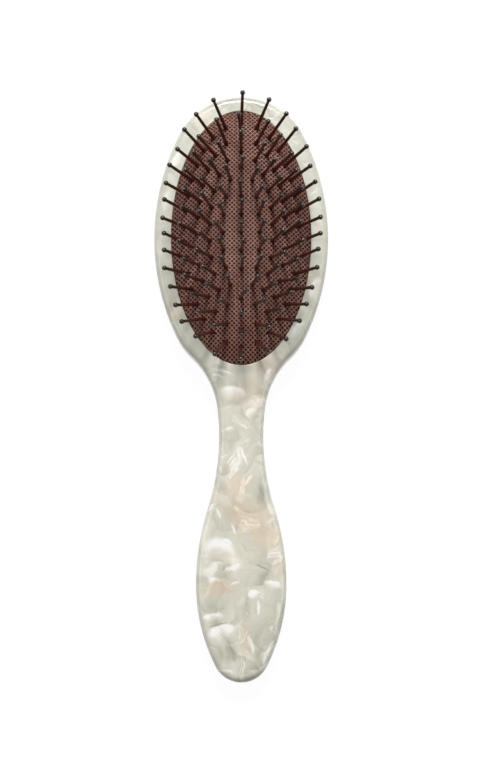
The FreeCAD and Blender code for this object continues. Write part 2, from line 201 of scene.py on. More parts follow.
def paddle_outline():
    """Anticlockwise outline of the paddle, from the handle's end up the right side, and outward normals."""
    top_centre = np.array([0, HEAD_TOP - HEAD_TOP_RADIUS])
    bottom_centre = np.array([0, HEAD_BOTTOM_RADIUS - HEAD_BOTTOM])
    upper_radius = flank_radius(HEAD_SIDE, top_centre[1], HEAD_TOP_RADIUS)
    lower_radius = flank_radius(HEAD_SIDE, bottom_centre[1], HEAD_BOTTOM_RADIUS)
    upper_centre = np.array([HEAD_SIDE - upper_radius, 0])
    lower_centre = np.array([HEAD_SIDE - lower_radius, 0])
    widening = GRIP_HALF - NECK_HALF
    swell_radius = (GRIP_DROP ** 2 + widening ** 2) / (2 * widening) - NECK_LOWER_RADIUS
    taper_radius = flank_radius(GRIP_HALF, END_DROP - END_RADIUS, END_RADIUS)
    neck_upper = np.array([NECK_HALF + NECK_UPPER_RADIUS, NECK_Y])
    neck_lower = np.array([NECK_HALF + NECK_LOWER_RADIUS, NECK_Y])
    swell_centre = np.array([GRIP_HALF - swell_radius, GRIP_Y])
    taper_centre = np.array([GRIP_HALF - taper_radius, GRIP_Y])
    end_centre = np.array([0, END_Y + END_RADIUS])
    throat = throat_centre(bottom_centre, neck_upper)

    end = np.array([0, END_Y])
    taper = towards(taper_centre, end_centre, taper_radius)
    grip = np.array([GRIP_HALF, GRIP_Y])
    swell = towards(neck_lower, swell_centre, NECK_LOWER_RADIUS)
    neck = np.array([NECK_HALF, NECK_Y])
    throat_low = towards(neck_upper, throat, NECK_UPPER_RADIUS)
    throat_high = towards(bottom_centre, throat, HEAD_BOTTOM_RADIUS)
    lower = towards(lower_centre, bottom_centre, lower_radius)
    side = np.array([HEAD_SIDE, 0])
    upper = towards(upper_centre, top_centre, upper_radius)
    top = np.array([0, HEAD_TOP])

    pieces = [
        arc(end_centre, END_RADIUS, end, taper),
        arc(taper_centre, taper_radius, taper, grip),
        arc(swell_centre, swell_radius, grip, swell),
        arc(neck_lower, NECK_LOWER_RADIUS, swell, neck, hollow=True),
        arc(neck_upper, NECK_UPPER_RADIUS, neck, throat_low, hollow=True),
        arc(throat, THROAT_RADIUS, throat_low, throat_high, hollow=True),
        arc(bottom_centre, HEAD_BOTTOM_RADIUS, throat_high, lower),
        arc(lower_centre, lower_radius, lower, side),
        arc(upper_centre, upper_radius, side, upper),
        arc(top_centre, HEAD_TOP_RADIUS, upper, top),
    ]
    right = np.concatenate([points for points, _ in pieces])
    normals = np.concatenate([spokes for _, spokes in pieces])
    mirror = np.array([-1, 1])
    left = np.concatenate([[top], right[:0:-1] * mirror])
    left_normals = np.concatenate([[[0, 1]], normals[:0:-1] * mirror])
    return np.concatenate([right, left]), np.concatenate([normals, left_normals])


def at_height(plan, height):
    """Points of a plan, lifted to a height."""
    return np.column_stack([plan, np.full(len(plan), height)])


def tilted(outward, across, up):
    """Normals that lean from the outward directions towards Z."""
    return np.column_stack([outward * across, np.full(len(outward), up)])


def oval(inset, corners=240):
    """Points and outward normals of an oval that lies an inset inside the cushion's side."""
    turns = 2 * math.pi * np.arange(corners) / corners
    half_width, half_length = PAD - inset
    spokes = np.stack([np.cos(turns), np.sin(turns)], axis=1)
    normals = spokes * np.array([half_length, half_width])
    normals /= np.linalg.norm(normals, axis=1, keepdims=True)
    return spokes * (PAD - inset), normals


def make_paddle():
    """Paddle with rounded edges, the mouth with its lip, the bead's groove and the chamber."""
    outline, outward = paddle_outline()
    skin = Skin()
    quarter = np.linspace(0, math.pi / 2, 9)
    rings = []
    for turn in quarter:
        inset = BACK_ROUNDING * (1 - math.sin(turn))
        height = BACK_ROUNDING * (1 - math.cos(turn))
        ring = skin.ring(at_height(outline - outward * inset, height))
        rings.append((ring, tilted(outward, math.sin(turn), -math.cos(turn))))
    for turn in quarter:
        inset = FRONT_ROUNDING * (1 - math.cos(turn))
        height = THICKNESS - FRONT_ROUNDING * (1 - math.sin(turn))
        ring = skin.ring(at_height(outline - outward * inset, height))
        rings.append((ring, tilted(outward, math.cos(turn), math.sin(turn))))
    for (low, low_normals), (high, high_normals) in zip(rings, rings[1:]):
        skin.strip(low, high, low_normals, high_normals)
    skin.fill([rings[0][0]], -UP)

    edge = []
    for turn in np.linspace(0, math.pi / 2, 5):
        grow = CLEARANCE + MOUTH_ROUNDING * (1 - math.sin(turn))
        height = THICKNESS - MOUTH_ROUNDING * (1 - math.cos(turn))
        plan, normals = oval(-grow)
        edge.append((skin.ring(at_height(plan, height)), tilted(normals, -math.sin(turn), math.cos(turn))))
    for (high, high_normals), (low, low_normals) in zip(edge, edge[1:]):
        skin.strip(high, low, high_normals, low_normals)
    skin.fill([rings[-1][0], edge[0][0]], UP)

    groove_top = THICKNESS - LIP
    ledge = groove_top - BEAD_HEIGHT
    last, inward = edge[-1]
    for grow, height, facing in (
        (CLEARANCE, groove_top, inward),
        (CLEARANCE + BEAD_REACH, groove_top, -UP),
        (CLEARANCE + BEAD_REACH, ledge, inward),
        (CLEARANCE - LEDGE, ledge, UP),
        (CLEARANCE - LEDGE, CHAMBER_FLOOR, inward),
    ):
        ring = skin.ring(at_height(oval(-grow)[0], height))
        normals = np.broadcast_to(facing, (len(ring), 3))
        skin.strip(last, ring, normals, normals)
        last = ring
    skin.fill([last], UP)
    return skin.make("pearl_paddle")


def dome_inset(x, y):
    """How far inside the rim the dome's ovals through these points lie."""
    low = np.zeros_like(x)
    high = np.full_like(x, ROLL)
    for _ in range(40):
        middle = (low + high) / 2
        inside = (x / (PAD[0] - middle)) ** 2 + (y / (PAD[1] - middle)) ** 2 < 1
        low = np.where(inside, middle, low)
        high = np.where(inside, high, middle)
    return low


def on_dome(x, y):
    """Places on top of the cloth above these points, and the normals there."""
    x = np.asarray(x, float)
    y = np.asarray(y, float)
    inset = dome_inset(x, y)
    left = 1 - inset / ROLL
    across = PAD[0] - inset
    along = PAD[1] - inset
    spread = x ** 2 / across ** 3 + y ** 2 / along ** 3
    scale = STEEPEST * left / np.where(spread > 0, spread, 1)
    normals = np.stack([scale * x / across ** 2, scale * y / along ** 2, np.ones_like(x)], axis=-1)
    normals /= np.linalg.norm(normals, axis=-1, keepdims=True)
    height = THICKNESS + CROWN * (1 - left ** 2)
    return np.stack([x, y, height], axis=-1), normals


def dome_rings(depth, stations=24):
    """Rings of the surface that lies a depth below the top of the cloth, from the rim to the flat top."""
    rings = []
    for station in np.linspace(0, 1, stations + 1):
        slope = STEEPEST * (1 - station)
        length = math.sqrt(1 + slope ** 2)
        inset = ROLL * station + depth * slope / length
        height = THICKNESS + CROWN * (1 - (1 - station) ** 2) - depth / length
        plan, _ = oval(max(inset, depth), RING_CORNERS)
        rings.append(at_height(plan, height))
    return rings


def make_shell(name, outer, inner):
    """Closed shell of two stacks of rings, each from its foot to its flat top."""
    skin = Skin()
    outside = [skin.ring(ring) for ring in outer]
    inside = [skin.ring(ring) for ring in inner]
    blank = np.zeros((len(outer[0]), 3))
    for low, high in zip(outside, outside[1:]):
        skin.strip(low, high, blank, blank)
    for low, high in zip(inside, inside[1:]):
        skin.strip(high, low, blank, blank)
    skin.strip(inside[0], outside[0], blank, blank)
    skin.face(outside[-1], UP)
    skin.face(inside[-1][::-1], UP)
    return skin.make(name, own_normals=False)


def make_rubber():
    """Hollow rubber dome with the bead that the paddle's groove holds."""
    top = THICKNESS - LIP - CLEARANCE
    bottom = THICKNESS - LIP - BEAD_HEIGHT
    plan_wide, _ = oval(-BEAD_REACH, RING_CORNERS)
    plan_outer, _ = oval(CLOTH, RING_CORNERS)
    plan_inner, _ = oval(CLOTH + RUBBER, RING_CORNERS)
    bead = [at_height(plan_wide, bottom), at_height(plan_wide, top), at_height(plan_outer, top)]
    outer = bead + dome_rings(CLOTH)[1:]
    inner = [at_height(plan_inner, bottom)] + dome_rings(CLOTH + RUBBER)[1:]
    return make_shell("rubber_cushion", outer, inner)


def make_cloth():
    """Dark ground of the facing, tucked into the mouth."""
    foot = THICKNESS - LIP
    outer = [at_height(oval(GROUND_DEPTH, RING_CORNERS)[0], foot)] + dome_rings(GROUND_DEPTH)
    inner = [at_height(oval(CLOTH, RING_CORNERS)[0], foot)] + dome_rings(CLOTH)
    return make_shell("facing_cloth", outer, inner)


def thread_span(offset, slant):
    """Where a slanting line at a given offset enters and leaves the cushion's oval, or None."""
    width, length = PAD - NET_MARGIN
    root = math.sqrt(0.5)
    # Point = offset * (root, slant * root) + run * (-slant * root, root)
    a = root ** 2 * (1 / width ** 2 + 1 / length ** 2)
    b = slant * offset * root ** 2 * (1 / length ** 2 - 1 / width ** 2)
    c = offset ** 2 * root ** 2 * (1 / width ** 2 + 1 / length ** 2) - 1
    inside = b ** 2 - a * c
    if inside <= 0:
        return None
    return (-b - math.sqrt(inside)) / a, (-b + math.sqrt(inside)) / a


def make_threads(name, slant):
    """All threads of one slant: flattened tubes that pass over and under the threads of the other slant."""
    skin = Skin()
    root = math.sqrt(0.5)
    turns = 2 * math.pi * np.arange(THREAD_SIDES) / THREAD_SIDES
    reach = int(np.linalg.norm(PAD) / THREAD_PITCH) + 1
    for number in range(-reach, reach + 1):
        offset = number * THREAD_PITCH
        span = thread_span(offset, slant)
        if span is None or span[1] - span[0] < 2 * THREAD_PITCH:
            continue
        step = THREAD_PITCH / 4
        first = math.floor(span[0] / step) + 1
        last = math.ceil(span[1] / step)
        runs = np.array([span[0], *(step * np.arange(first, last)), span[1]])
        x = root * (offset - slant * runs)
        y = root * (slant * offset + runs)
        places, normals = on_dome(x, y)
        wave = slant * THREAD_WAVE * np.cos(math.pi * (runs / THREAD_PITCH + number))
        middles = places + normals * (wave - THREAD_SINK)[:, None]
        ahead = np.gradient(middles, axis=0)
        aside = np.cross(ahead, normals)
        aside /= np.linalg.norm(aside, axis=1, keepdims=True)
        rise = np.cross(aside, ahead)
        rise /= np.linalg.norm(rise, axis=1, keepdims=True)
        rings = []
        for middle, side, above in zip(middles, aside, rise):
            across = np.outer(np.cos(turns), side * THREAD_HALF_WIDTH)
            upward = np.outer(np.sin(turns), above * THREAD_HALF_HEIGHT)
            rings.append(skin.ring(middle + across + upward))
        blank = [UP] * THREAD_SIDES
        for low, high in zip(rings, rings[1:]):
            skin.strip(high, low, blank, blank)
        skin.face(rings[0], UP)
        skin.face(rings[-1][::-1], UP)
    return skin.make(name, own_normals=False)


def pin_profile():
    """Heights above the cloth and radii of a pin, from the foot under the rubber to the ball's top."""
    profile = [(-3.55, 0.0), (-3.55, 1.15), (-3.4, 1.38), (-3.15, 1.3), (-2.75, 0.75), (-0.2, 0.78)]
    profile += [(0.0, 0.88), (0.75, 0.86), (1.2, 0.78), (1.8, 0.68), (2.6, 0.63), (9.0, 0.61), (15.6, 0.58)]
    middle = PIN_LENGTH - BALL_RADIUS
    for turn in np.linspace(math.radians(-58), math.pi / 2, 11):
        profile.append((middle + BALL_RADIUS * math.sin(turn), BALL_RADIUS * math.cos(turn)))
    return profile


def ring_seats(number, count):
    """Places and normals of one ring of pins in equal steps, clockwise from the top."""
    share = number / (len(RINGS) - 1)
    half_width, half_length = OUTER_RING + (INNER_RING - OUTER_RING) * share
    turns = np.linspace(0, 2 * math.pi, 20001)
    x = half_width * np.sin(turns)
    y = half_length * np.cos(turns)
    passed = np.concatenate([[0], np.cumsum(np.hypot(np.diff(x), np.diff(y)))])
    steps = np.interp(passed[-1] * np.arange(count) / count, passed, turns)
    return list(zip(*on_dome(half_width * np.sin(steps), half_length * np.cos(steps))))


def pin_groups():
    """Seats of the pins under the names of their solids."""
    groups = {}
    for number, (name, count, end_pins) in enumerate(RINGS):
        seats = ring_seats(number, count)
        half = end_pins // 2
        flank = (count - 2 * end_pins) // 2
        seats = seats[-half:] + seats[:-half]
        for side, pins in (("top", end_pins), ("right", flank), ("bottom", end_pins), ("left", flank)):
            groups[f"{name}_pins_{side}"] = seats[:pins]
            seats = seats[pins:]
    steps = (np.arange(CENTRE_PINS) - (CENTRE_PINS - 1) / 2) * CENTRE_PITCH
    groups["centre_pins"] = list(zip(*on_dome(np.zeros(CENTRE_PINS), steps)))
    return groups


def make_pins(name, seats, chance):
    """Pins of one group, each leaning a little its own way; "along" runs from the root to the tip."""
    skin = Skin()
    profile = pin_profile()
    along = []
    turns = 2 * math.pi * np.arange(PIN_SIDES) / PIN_SIDES
    for place, normal in seats:
        axis = normal + LEAN_SPREAD * np.array([chance.gauss(0, 1), chance.gauss(0, 1), 0])
        axis /= np.linalg.norm(axis)
        side = np.cross([0, 1, 0], axis)
        side /= np.linalg.norm(side)
        spokes = np.outer(np.cos(turns), side) + np.outer(np.sin(turns), np.cross(axis, side))
        rings = []
        for height, radius in profile[1:-1]:
            rings.append(skin.ring(place + axis * height + spokes * radius))
            along += [height / PIN_LENGTH] * PIN_SIDES
        blank = [UP] * PIN_SIDES
        for low, high in zip(rings, rings[1:]):
            skin.strip(low, high, blank, blank)
        skin.face(rings[0][::-1], UP)
        (tip,) = skin.ring([place + axis * profile[-1][0]])
        along.append(1.0)
        for here in range(PIN_SIDES):
            skin.face((rings[-1][here - 1], rings[-1][here], tip), UP)
    piece = skin.make(f"{name}_round", own_normals=False)
    attribute = piece.data.attributes.new("along", "FLOAT", "POINT")
    attribute.data.foreach_set("value", along)
    return piece


def colour(red, green, blue):
    """Linear colour, with alpha, of a display colour from 0 to 255."""
    parts = []
    for part in (red / 255, green / 255, blue / 255):
        parts.append(part / 12.92 if part <= 0.04045 else ((part + 0.055) / 1.055) ** 2.4)
    return (*parts, 1.0)


class Recipe:
    """Material and its nodes; a socket given as an input is linked, any other value is set."""

    def __init__(self, name):
        self.material = bpy.data.materials.new(name)
        self.material.use_nodes = True
        self.tree = self.material.node_tree
        self.shader = self.tree.nodes["Principled BSDF"]
        place = self.add("TexCoord").outputs["Object"]
        self.place = self.vector("SCALE", place, Scale=1 / MM)

    def add(self, kind, inputs=None, **settings):
        node = self.tree.nodes.new(f"ShaderNode{kind}")
        for name, setting in settings.items():
            setattr(node, name, setting)
        self.feed(node, inputs or {})
        return node

    def feed(self, node, inputs):
        for name, value in inputs.items():
            if isinstance(value, bpy.types.NodeSocket):
                self.tree.links.new(value, node.inputs[name])
            else:
                node.inputs[name].default_value = value

    def math(self, operation, *numbers, clamp=False):
        node = self.add("Math", dict(enumerate(numbers)), operation=operation, use_clamp=clamp)
        return node.outputs[0]

    def vector(self, operation, *vectors, **inputs):
        node = self.add("VectorMath", {**dict(enumerate(vectors)), **inputs}, operation=operation)
        return node.outputs["Value" if operation == "DOT_PRODUCT" else "Vector"]

    def mix(self, share, first, second, blend="MIX"):
        node = self.add("Mix", {0: share, 6: first, 7: second}, data_type="RGBA", blend_type=blend)
        return node.outputs[2]

    def ramp(self, share, stops, interpolation="LINEAR"):
        """Colour ramp; stops are places and colours, or places and greys."""
        node = self.add("ValToRGB", {0: share})
        node.color_ramp.interpolation = interpolation
        elements = node.color_ramp.elements
        while len(elements) < len(stops):
            elements.new(1.0)
        for element, (place, shade) in zip(elements, stops):
            element.position = place
            element.color = shade if isinstance(shade, tuple) else (shade, shade, shade, 1.0)
        return node.outputs[0]

    def noise(self, place, size, detail=2.0):
        """Noise whose lumps are about a given number of millimetres wide."""
        return self.add("TexNoise", {"Vector": place, "Scale": 1 / size, "Detail": detail})

    def bump(self, height, strength, distance):
        node = self.add("Bump", {"Height": height, "Strength": strength, "Distance": distance})
        return node.outputs[0]

    def finish(self, **inputs):
        self.feed(self.shader, {name.replace("_", " "): value for name, value in inputs.items()})
        return self.material


# Large flakes, clouds and creases in the pearl, with a painted highlight and painted shade among them: x, y,
# half length, half width in millimetres, turn in degrees, strength
WHITE_FLAKES_AND_HIGHLIGHT = [
    (-8.1, -118.6, 6.8, 6.2, -20, 0.8),
    (-3.2, -59.4, 5.4, 3.2, -8, 1.0),
    (3.9, -66.5, 2.4, 1.7, 25, 0.9),
    (-4.5, -73.2, 2.2, 1.2, 10, 0.7),
    (1.0, -82.9, 3.6, 0.7, -68, 1.0),
    (3.1, -91.7, 2.8, 0.7, 55, 0.9),
    (-5.6, -114.8, 2.6, 1.8, -25, 1.0),
    (-3.4, -123.9, 3.2, 1.2, 28, 0.9),
    (11.2, -130.1, 3.4, 1.7, -18, 1.0),
    (4.3, -133.4, 2.0, 2.0, 35, 0.95),
    (6.5, -138.1, 2.6, 0.7, 90, 0.95),
    (-10.3, -141.7, 4.2, 1.8, 12, 1.0),
    (-7.3, -147.1, 5.4, 3.2, 12, 1.0),
    (3.6, -151.4, 3.2, 1.1, -72, 0.95),
    (10.1, -153.5, 4.6, 0.8, 62, 0.8),
    (-5.9, -161.0, 3.4, 0.7, -4, 0.7),
    (-10.7, -102.0, 2.4, 0.8, 55, 0.9),
    (-8.5, -104.2, 2.2, 0.6, -62, 1.0),
    (-2.6, -109.7, 2.4, 0.6, -60, 0.9),
    (-9.9, -128.6, 2.4, 1.1, 0, 0.7),
    (-1.9, -129.4, 2.2, 0.7, 22, 0.7),
    (13.4, -139.9, 0.8, 4.0, 0, 0.6),
    (27.9, -19.9, 4.5, 2.6, 70, 0.9),
    (21.5, -35.4, 4.5, 2.0, 48, 0.9),
    (-28.0, 14.0, 5.0, 2.0, 80, 0.5),
    # Painted highlight: a bright band down the head's right rim, where the rounded edge catches the light.
    (29.6, 4.0, 20.0, 3.6, 90, 0.25),
    (10.0, -45.5, 5.0, 1.4, 32, 0.7),
    (-6.5, -51.7, 3.4, 0.6, -8, 0.9),
    (-8.6, -53.4, 2.6, 0.5, -14, 0.8),
    (10.2, -52.6, 3.0, 1.2, 65, 0.9),
    (-24.1, 30.0, 3.8, 1.9, 60, 0.8),
]
PEACH_CLOUDS = [
    (2.1, -104.5, 13.0, 8.0, -32, 1.0),
    (8.6, -111.5, 9.0, 6.0, -20, 1.0),
    (-8.1, -131.2, 9.0, 4.0, 0, 0.9),
    (-1.0, -93.5, 8.0, 6.0, 20, 0.7),
    (1.5, -150.0, 3.0, 10.0, 0, 0.5),
]
GREY_CLOUDS_AND_SHADE = [
    (-8.6, -119.2, 6.6, 3.4, 0, 1.0),
    (-6.2, -154.2, 7.0, 4.2, 0, 0.9),
    (1.7, -138.8, 2.6, 4.8, 0, 0.9),
    (7.5, -155.3, 4.0, 4.0, 0, 0.6),
    (8.0, -97.0, 4.5, 4.0, 0, 0.6),
    # Painted shadow of the cushion on the throat just below it, then painted shade dimming the head's top
    # rim where the key light falls brightest.
    (0.0, -50.5, 9.0, 2.4, 0, 0.5),
    (0.0, 52.0, 18.0, 5.0, 0, 0.7),
]
CREASES = [
    (8.0, -123.6, 4.0, 0.5, -33, 1.0),
    (-8.4, -144.2, 5.8, 0.5, 12, 1.0),
    (1.4, -116.6, 4.0, 0.4, -55, 0.5),
    (5.0, -62.0, 3.0, 0.4, -40, 0.6),
]


def flake_group():
    """Node group: how much of one oval lies at a point, an oval that can be brighter along one side: a
    flake, cloud or crease of the pearl, or a patch of painted highlight or shade.
    """
    group = bpy.data.node_groups.new("flake", "ShaderNodeTree")
    for name, kind in (("Point", "Vector"), ("Centre", "Vector"), ("Turn", "Vector"), ("Size", "Vector"),
                       ("Strength", "Float"), ("Lit Side", "Float"), ("Core", "Float")):
        group.interface.new_socket(name, in_out="INPUT", socket_type=f"NodeSocket{kind}")
    group.interface.new_socket("Share", in_out="OUTPUT", socket_type="NodeSocketFloat")
    nodes = group.nodes
    link = group.links.new
    given = nodes.new("NodeGroupInput").outputs
    local = nodes.new("ShaderNodeMapping")
    local.vector_type = "TEXTURE"
    for socket, name in (("Point", "Vector"), ("Centre", "Location"), ("Turn", "Rotation"),
                         ("Size", "Scale")):
        link(given[socket], local.inputs[name])
    reach = nodes.new("ShaderNodeVectorMath")
    reach.operation = "LENGTH"
    link(local.outputs[0], reach.inputs[0])
    parts = nodes.new("ShaderNodeSeparateXYZ")
    link(local.outputs[0], parts.inputs[0])
    lean = nodes.new("ShaderNodeMath")
    lean.operation = "MULTIPLY_ADD"
    lean.use_clamp = True
    lean.inputs[2].default_value = 0.55
    link(parts.outputs["Y"], lean.inputs[0])
    link(given["Lit Side"], lean.inputs[1])
    strong = nodes.new("ShaderNodeMath")
    strong.operation = "MULTIPLY"
    link(lean.outputs[0], strong.inputs[0])
    link(given["Strength"], strong.inputs[1])
    share = nodes.new("ShaderNodeMapRange")
    share.interpolation_type = "SMOOTHSTEP"
    share.inputs["From Min"].default_value = 1.1
    link(given["Core"], share.inputs["From Max"])
    link(reach.outputs["Value"], share.inputs["Value"])
    link(strong.outputs[0], share.inputs["To Max"])
    link(share.outputs[0], nodes.new("NodeGroupOutput").inputs["Share"])
    return group


def add_flakes(recipe, group, point, flakes, lit_side, core):
    """Greatest share of any oval of a list at each point: flakes, clouds, creases, and the painted highlight
    and shade among them.
    """
    total = None
    for x, y, half_length, half_width, turn, strength in flakes:
        node = recipe.add("Group", node_tree=group)
        recipe.feed(node, {
            "Point": point,
            "Centre": (x, y, 0),
            "Turn": (0, 0, math.radians(turn)),
            "Size": (half_length, half_width, 1e3),
            "Strength": strength,
            "Lit Side": lit_side,
            "Core": core,
        })
        share = node.outputs[0]
        total = share if total is None else recipe.math("MAXIMUM", total, share)
    return total


def pearl_material():
    """Cast pearl acetate: silky cells that shade from side to side, flakes, clouds and fine streaks, with a
    painted highlight along the head's right rim, a painted shadow below the cushion and painted shade on the
    head's top rim.
    """
    recipe = Recipe("pearl_acetate")
    wander = recipe.vector("SUBTRACT", recipe.noise(recipe.place, 14).outputs["Color"], (0.5, 0.5, 0.5))
    flutter = recipe.vector("SUBTRACT", recipe.noise(recipe.place, 4.0).outputs["Color"], (0.5, 0.5, 0.5))
    bent = recipe.vector("ADD", recipe.place, recipe.vector("SCALE", wander, Scale=16.0))
    bent = recipe.vector("ADD", bent, recipe.vector("SCALE", flutter, Scale=3.0))

    def silk(cell_size, softness):
        """Slope across distorted cells, streaks along each cell's grain, and the cells' own chances."""
        spot = recipe.vector("DIVIDE", bent, cell_size)
        cells = recipe.add("TexVoronoi", {"Vector": spot, "Scale": 1.0, "Smoothness": softness},
                           feature="SMOOTH_F1")
        chance = cells.outputs["Color"]
        way = recipe.vector("NORMALIZE", recipe.vector("SUBTRACT", chance, (0.5, 0.5, 0.5)))
        slope = recipe.vector("DOT_PRODUCT", recipe.vector("SUBTRACT", spot, cells.outputs["Position"]), way)
        grain = recipe.vector("SCALE", way, Scale=recipe.math("MULTIPLY", slope, 9.0))
        streaks = recipe.noise(recipe.vector("ADD", grain, recipe.vector("SCALE", spot, Scale=0.7)), 1.0)
        return slope, streaks.outputs[0], recipe.add("SeparateColor", {0: chance})

    broad, streaks, _ = silk((13.0, 17.0, 18.0), 0.45)
    small, small_streaks, chance = silk((5.0, 7.0, 10.0), 0.12)

    fold = recipe.math("MULTIPLY_ADD", broad, 0.9, 0.5, clamp=True)
    light = recipe.ramp(fold, [(0.0, 0.28), (0.35, 0.43), (0.6, 0.52), (0.9, 0.8)], "EASE")
    light = recipe.math("ADD", light, recipe.math("MULTIPLY_ADD", streaks, 0.3, -0.15))
    small_fold = recipe.math("MULTIPLY_ADD", small, 1.2, 0.5, clamp=True)
    small_here = recipe.ramp(chance.outputs[1], [(0.5, 0.0), (0.75, 0.35)])
    small_light = recipe.math("MULTIPLY", recipe.math("SUBTRACT", small_fold, 0.5), small_here)
    light = recipe.math("ADD", light, small_light)
    glint_here = recipe.ramp(chance.outputs[2], [(0.72, 0.0), (0.8, 0.45)])
    thin = recipe.ramp(small_streaks, [(0.48, 0.0), (0.62, 1.0)])
    glint = recipe.math("MULTIPLY", glint_here, recipe.math("MULTIPLY", thin, small_fold))
    light = recipe.math("ADD", light, glint)

    height = recipe.add("SeparateXYZ", {0: recipe.place}).outputs["Y"]
    handle = recipe.math("MULTIPLY_ADD", height, -0.06, -2.6, clamp=True)
    lively = recipe.math("MULTIPLY_ADD", handle, 0.6, 0.4)
    calm = recipe.math("MULTIPLY_ADD", handle, 0.09, 0.41)
    light = recipe.math("MULTIPLY_ADD", recipe.math("SUBTRACT", light, 0.5), lively, calm)

    flake = flake_group()
    flat = recipe.vector("ADD", recipe.place, recipe.vector("SCALE", wander, Scale=2.0))
    flat = recipe.vector("ADD", flat, recipe.vector("SCALE", flutter, Scale=1.6))
    # The grey list holds a painted shadow below the cushion and painted shade on the head's top rim; the
    # white list holds a painted highlight along the head's right rim.
    grey = add_flakes(recipe, flake, flat, GREY_CLOUDS_AND_SHADE, 0.0, 0.3)
    crease = add_flakes(recipe, flake, flat, CREASES, 0.0, 0.0)
    white = add_flakes(recipe, flake, flat, WHITE_FLAKES_AND_HIGHLIGHT, 0.6, 0.6)
    peach = add_flakes(recipe, flake, flat, PEACH_CLOUDS, 0.0, 0.0)
    light = recipe.math("MULTIPLY_ADD", white, 0.8, light, clamp=True)
    light = recipe.math("MULTIPLY_ADD", grey, -0.6, light)
    light = recipe.math("MULTIPLY_ADD", crease, -0.9, light)
    base = recipe.ramp(light, [
        (0.0, colour(178, 174, 157)),
        (0.3, colour(207, 205, 190)),
        (0.5, colour(221, 218, 203)),
        (0.7, colour(233, 230, 218)),
        (1.0, colour(253, 252, 247)),
    ])
    clouds = recipe.noise(recipe.place, 18, detail=1.0)
    warmth = recipe.ramp(clouds.outputs[0], [(0.55, 0.0), (0.75, 0.5)])
    warmth = recipe.math("MAXIMUM", warmth, recipe.math("MULTIPLY", peach, 2.8))
    cool = recipe.mix(handle, (0.97, 1.0, 1.0, 1.0), (1.0, 1.0, 1.0, 1.0))
    tint = recipe.mix(warmth, cool, (1.07, 0.96, 0.88, 1.0))
    base = recipe.mix(1.0, base, tint, blend="MULTIPLY")

    relief = recipe.math("ADD", broad, recipe.math("MULTIPLY", small, 0.4))
    return recipe.finish(
        Base_Color=base,
        Roughness=recipe.ramp(clouds.outputs[0], [(0.3, 0.3), (0.7, 0.42)]),
        Normal=recipe.bump(relief, 0.12, 0.002),
        IOR=1.48,
        Coat_Weight=0.6,
        Coat_Roughness=0.06,
        Coat_IOR=1.48,
        Subsurface_Weight=0.12,
        Subsurface_Radius=(0.004, 0.0036, 0.003),
        Subsurface_Scale=0.5,
    )


def thread_material():
    """Copper-brown monofilament with slight changes from thread to thread."""
    recipe = Recipe("woven_mesh_thread")
    patch = recipe.noise(recipe.place, 9, detail=3.0)
    speck = recipe.noise(recipe.place, 0.5, detail=1.0)
    tint = recipe.ramp(patch.outputs[0], [
        (0.3, colour(158, 106, 88)),
        (0.5, colour(177, 124, 105)),
        (0.7, colour(191, 141, 123)),
    ])
    fleck = recipe.ramp(speck.outputs[0], [(0.3, 0.8), (0.7, 1.1)])
    return recipe.finish(
        Base_Color=recipe.mix(1.0, tint, fleck, blend="MULTIPLY"),
        Roughness=recipe.ramp(speck.outputs[0], [(0.3, 0.22), (0.7, 0.32)]),
        Specular_IOR_Level=0.8,
        IOR=1.5,
    )


def cloth_material():
    """Dark brown ground between the threads."""
    recipe = Recipe("woven_mesh_ground")
    speck = recipe.noise(recipe.place, 0.4, detail=2.0)
    return recipe.finish(
        Base_Color=recipe.ramp(speck.outputs[0], [(0.3, colour(44, 17, 13)), (0.7, colour(62, 27, 22))]),
        Roughness=recipe.ramp(speck.outputs[0], [(0.3, 0.75), (0.7, 0.9)]),
        Normal=recipe.bump(speck.outputs[0], 0.4, 0.0002),
    )


def rubber_material():
    """Matt dark brown rubber with a faint mottling."""
    recipe = Recipe("cushion_rubber")
    speck = recipe.noise(recipe.place, 1.2, detail=4.0)
    return recipe.finish(
        Base_Color=recipe.ramp(speck.outputs[0], [(0.3, colour(38, 20, 17)), (0.7, colour(52, 28, 24))]),
        Roughness=recipe.ramp(speck.outputs[0], [(0.3, 0.62), (0.7, 0.78)]),
        Normal=recipe.bump(speck.outputs[0], 0.2, 0.0002),
    )


def pin_material():
    """Dark nylon with a nearly black ball, and painted translucency: red towards the root for the pad's
    light glowing through, paler grey-brown further out for the white surroundings.
    """
    recipe = Recipe("pin_nylon")
    along = recipe.add("Attribute", attribute_name="along").outputs["Fac"]
    # Painted translucency along the shaft: red near the root stands for the pad's light glowing through the
    # nylon, grey-brown further out for the white surroundings showing through; the dark ball is the tip's
    # own colour.
    tint = recipe.ramp(along, [
        (0.0, colour(74, 24, 20)),
        (0.35, colour(90, 34, 29)),
        (0.7, colour(82, 54, 46)),
        (0.87, colour(62, 43, 37)),
        (0.92, colour(11, 7, 5)),
    ])
    streak = recipe.noise(recipe.place, 0.8, detail=2.0)
    fleck = recipe.ramp(streak.outputs[0], [(0.3, 0.85), (0.7, 1.12)])
    return recipe.finish(
        Base_Color=recipe.mix(1.0, tint, fleck, blend="MULTIPLY"),
        Roughness=recipe.ramp(along, [(0.8, 0.24), (0.92, 0.04)]),
        Specular_IOR_Level=recipe.ramp(along, [(0.8, 0.3), (0.92, 1.0)]),
        Specular_Tint=colour(255, 244, 234),
        IOR=1.53,
    )


# Stage, in metres
FLOOR_HALF = 20.0
FLOOR_DROP = 0.0002
FLOOR_GLOW_SHARE = 0.93
FLOOR_GLOW = 1.04
WORLD_STRENGTH = 0.1
CAMERA_AIM = np.array([-0.00045, -0.059, 0.012])
CAMERA_TILT = 0.136
CAMERA_DISTANCE = 0.6
VIEW_HALF_HEIGHT = 0.1454


